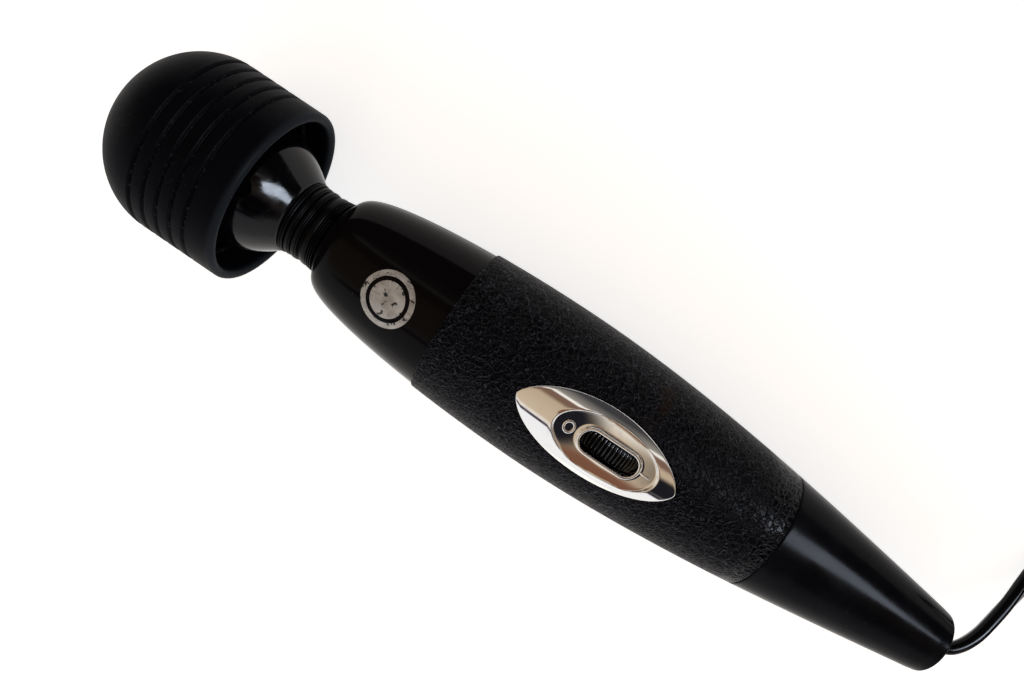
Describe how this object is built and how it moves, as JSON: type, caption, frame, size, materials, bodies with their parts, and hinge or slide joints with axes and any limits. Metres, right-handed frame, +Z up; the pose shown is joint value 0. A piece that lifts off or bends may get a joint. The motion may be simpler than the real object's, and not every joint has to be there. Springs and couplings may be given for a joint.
{
  "type": "handheld wand massager",
  "caption": "Corded wand massager: ribbed rubber head on a sprung flexible neck, leather-look handle with a chromed thumbwheel switch, flat cord and two-pin plug.",
  "frame": {"origin": "bottom centre of the wand as it lies: midway between the tip of the head and the tail end, midway across, on the surface that it lies on (the cord is left out)", "axes": "+X along the wand from the head to the tail, +Z up out of the surface on the side of the thumbwheel, +Y to the side on which the cord leaves"},
  "size_m": [0.3995, 0.091, 0.0581],
  "materials": {
    "cap_rubber": "matte, slightly dusty moulded silicone rubber with a soft worn sheen",
    "inner_plastic": "plain moulded plastic, unseen",
    "gloss_black": "glossy injection-moulded black plastic with fine scratches and dust",
    "screw_steel": "zinc-plated screw heads",
    "screw_black": "black-oxide screw heads",
    "machined_steel": "ground steel",
    "weight_steel": "sintered steel",
    "spring_steel": "drawn spring wire",
    "neck_rubber": "satin moulded rubber",
    "nylon": "natural nylon",
    "brass": "turned brass",
    "copper": "enamelled copper windings and copper segments",
    "motor_steel": "zinc-plated deep-drawn steel",
    "magnet": "sintered ferrite",
    "mount_rubber": "soft rubber",
    "leatherette": "black leather-look vinyl with fine branching creases",
    "silver_foil": "worn silver foil",
    "chrome": "mirror-bright chrome plating on plastic",
    "wheel_black": "satin moulded plastic",
    "pot_blue": "moulded component body",
    "board_green": "solder-masked circuit board",
    "capacitor_orange": "dipped component",
    "aluminium": "extruded aluminium",
    "wire_red": "insulated wire",
    "cord_black": "smooth, slightly glossy flexible vinyl jacket",
    "tie_black": "flat plastic-covered wire tie",
    "plug_black": "moulded vinyl plug body",
    "pin_metal": "nickel-plated brass pins"
  },
  "bodies": {
    "handle": {"top_shell": "gloss_black", "bottom_shell": "gloss_black", "shell_screws": "screw_steel", "sleeve": "leatherette", "badge": "silver_foil", "bezel": "chrome", "neck_lip": "neck_rubber", "bellows_rear": "neck_rubber", "motor_can": "motor_steel", "motor_magnets": "magnet", "motor_end_cap": "nylon", "motor_mounts": "mount_rubber", "wheel_bracket": "nylon", "potentiometer": "pot_blue", "circuit_board": "board_green", "capacitor": "capacitor_orange", "transistor": "inner_plastic", "heat_sink": "aluminium", "wires": "wire_red", "cord_inner": "cord_black", "cord_clamp": "nylon", "clamp_screws": "screw_steel", "cord_gland": "cord_black", "cord": "cord_black", "cord_coil": "cord_black", "coil_ties": "tie_black", "cord_lead": "cord_black", "plug_body": "plug_black", "plug_pins": "pin_metal"},
    "neck_link": {"neck_ring": "nylon", "neck_spring": "spring_steel"},
    "head": {"head_cap": "cap_rubber", "head_core": "inner_plastic", "bearing_plate": "inner_plastic", "head_cone": "gloss_black", "head_screws": "screw_black", "front_bearing": "machined_steel", "rear_bearing": "machined_steel", "neck_collar_front": "neck_rubber", "bellows_front": "neck_rubber"},
    "eccentric": {"eccentric_shaft": "machined_steel", "eccentric_weight": "weight_steel", "drive_spring_front": "spring_steel"},
    "rotor": {"motor_shaft": "machined_steel", "armature": "copper", "commutator": "copper", "shaft_coupling": "brass", "drive_spring_rear": "spring_steel"},
    "dial": {"thumbwheel": "wheel_black", "wheel_axle": "machined_steel"}
  },
  "joints": [
    {"name": "neck_nod", "type": "hinge", "parent": "handle", "child": "neck_link", "pos_m": [-0.07224, 0, 0.02776], "axis": [0, 1, 0], "range_deg": [-12, 12], "stiffness_Nm_per_rad": 1.2, "deforming": ["bellows_rear", "neck_spring", "drive_spring_rear"]},
    {"name": "neck_sway", "type": "hinge", "parent": "neck_link", "child": "head", "pos_m": [-0.07224, 0, 0.02776], "axis": [0.042, 0, 0.9991], "range_deg": [-12, 12], "stiffness_Nm_per_rad": 1.2, "deforming": ["bellows_front", "drive_spring_front"]},
    {"name": "motor_spin", "type": "hinge", "parent": "handle", "child": "rotor", "pos_m": [-0.02963, 0, 0.02597], "axis": [0.9991, 0, -0.042], "continuous": true},
    {"name": "weight_spin", "type": "hinge", "parent": "head", "child": "eccentric", "pos_m": [-0.10956, 0, 0.02933], "axis": [0.9991, 0, -0.042], "continuous": true},
    {"name": "dial_turn", "type": "hinge", "parent": "handle", "child": "dial", "pos_m": [0.03168, 0, 0.0343], "axis": [0, 1, 0], "range_deg": [0, 270]}
  ],
  "couplings": [
    {"joint": "weight_spin", "follows": "motor_spin", "ratio": 1}
  ]
}
